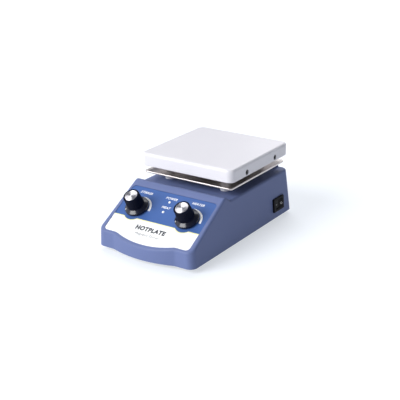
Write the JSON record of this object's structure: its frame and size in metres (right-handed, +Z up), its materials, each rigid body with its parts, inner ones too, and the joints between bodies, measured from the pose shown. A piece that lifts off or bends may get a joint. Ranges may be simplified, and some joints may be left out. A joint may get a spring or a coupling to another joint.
{
  "type": "magnetic stirrer with hotplate",
  "caption": "Benchtop hotplate magnetic stirrer with a square coated plate on posts, sloped panel with dials, side rocker switch and rear mains inlet.",
  "frame": {"origin": "centre of the device's outline on the surface it stands on", "axes": "+X to the user's right, +Y to the rear, +Z up"},
  "size_m": [0.1276, 0.2168, 0.089],
  "materials": {
    "housing_blue": "satin moulded ABS",
    "overlay_blue": "printed polycarbonate film",
    "black_plastic": "semi-gloss phenolic",
    "black_nylon": "matt nylon",
    "spun_aluminium": "spun disc",
    "white_ceramic": "ceramic enamel coat",
    "steatite": "glazed ceramic",
    "stainless": "brushed stainless sheet",
    "steel_zinc": "zinc-plated steel",
    "steel_black": "black-oxide steel",
    "sheet_steel": "grey powder coat",
    "rubber_black": "matt",
    "brass_contact": "bright",
    "lamp_white": "diffused epoxy",
    "pcb_green": "solder mask",
    "motor_steel": "nickel-plated can",
    "carrier_aluminium": "machined",
    "magnet_nickel": "nickel-plated magnet",
    "heater_mica": "mica laminate",
    "fibre_white": "ceramic fibre",
    "sleeve_glass": "glass-fibre braid",
    "wire_red": "silicone insulation",
    "fuse_glass": "glass tube",
    "wound_parts": "moulded",
    "terminal_green": "moulded"
  },
  "bodies": {
    "housing": {"upper_housing": "housing_blue", "panel_overlay": "overlay_blue", "stir_pot_body": "motor_steel", "heat_pot_body": "motor_steel", "pot_washers": "steel_zinc", "pot_nuts": "steel_zinc", "power_led": "lamp_white", "heat_led": "lamp_white", "led_holders": "black_nylon", "switch_body": "black_nylon", "switch_terminals": "brass_contact", "inlet_body": "black_nylon", "inlet_screws": "steel_zinc", "inlet_nuts": "steel_zinc", "inlet_pins": "brass_contact", "base_plate": "sheet_steel", "rubber_feet": "rubber_black", "foot_screws": "steel_zinc", "motor_bracket": "steel_zinc", "motor_body": "motor_steel", "motor_screws": "steel_zinc", "bracket_screws": "steel_zinc", "hot_plate": "white_ceramic", "plate_side_screws": "steel_black", "heater_pan": "stainless", "heating_element": "heater_mica", "insulation_pad": "fibre_white", "thermostat": "black_nylon", "heat_shield": "stainless", "support_posts": "steatite", "upper_spacers": "steatite", "post_studs": "steel_zinc", "post_nuts": "steel_zinc", "lead_sleeve": "sleeve_glass", "heater_wires": "wire_red", "lead_grommet": "rubber_black", "control_board": "pcb_green", "board_standoffs": "brass_contact", "board_screws": "steel_zinc", "transformer": "wound_parts", "triac_heatsink": "carrier_aluminium", "triac": "wound_parts", "capacitors": "wound_parts", "terminal_block": "terminal_green"},
    "stir_dial": {"stir_knob": "black_plastic", "stir_knob_cap": "spun_aluminium", "stir_pot_shaft": "carrier_aluminium"},
    "heat_dial": {"heat_knob": "black_plastic", "heat_knob_cap": "spun_aluminium", "heat_pot_shaft": "carrier_aluminium"},
    "rocker": {"switch_rocker": "black_plastic"},
    "rotor": {"motor_shaft": "steel_zinc", "magnet_carrier": "carrier_aluminium", "carrier_grub_screw": "steel_zinc", "magnets": "magnet_nickel"},
    "fuse_carrier": {"fuse_drawer": "black_nylon", "fuse": "fuse_glass"}
  },
  "joints": [
    {"name": "stir_speed_dial", "type": "hinge", "parent": "housing", "child": "stir_dial", "pos_m": [-0.033, -0.0665, 0.0431], "axis": [0, 0.5088, -0.8609], "range_deg": [0, 270]},
    {"name": "heat_dial_turn", "type": "hinge", "parent": "housing", "child": "heat_dial", "pos_m": [0.033, -0.0665, 0.0431], "axis": [0, 0.5088, -0.8609], "range_deg": [0, 270]},
    {"name": "power_rocker", "type": "hinge", "parent": "housing", "child": "rocker", "pos_m": [0.06005, 0.074, 0.02071], "axis": [-0.0599, 0, 0.9982], "range_deg": [0, 20]},
    {"name": "stirrer_spin", "type": "hinge", "parent": "housing", "child": "rotor", "pos_m": [0, 0.037, 0.059], "axis": [0, 0, 1], "continuous": true},
    {"name": "fuse_drawer_pull", "type": "slide", "parent": "housing", "child": "fuse_carrier", "axis": [0, 0.9929, 0.1191], "range_m": [0, 0.016]}
  ]
}
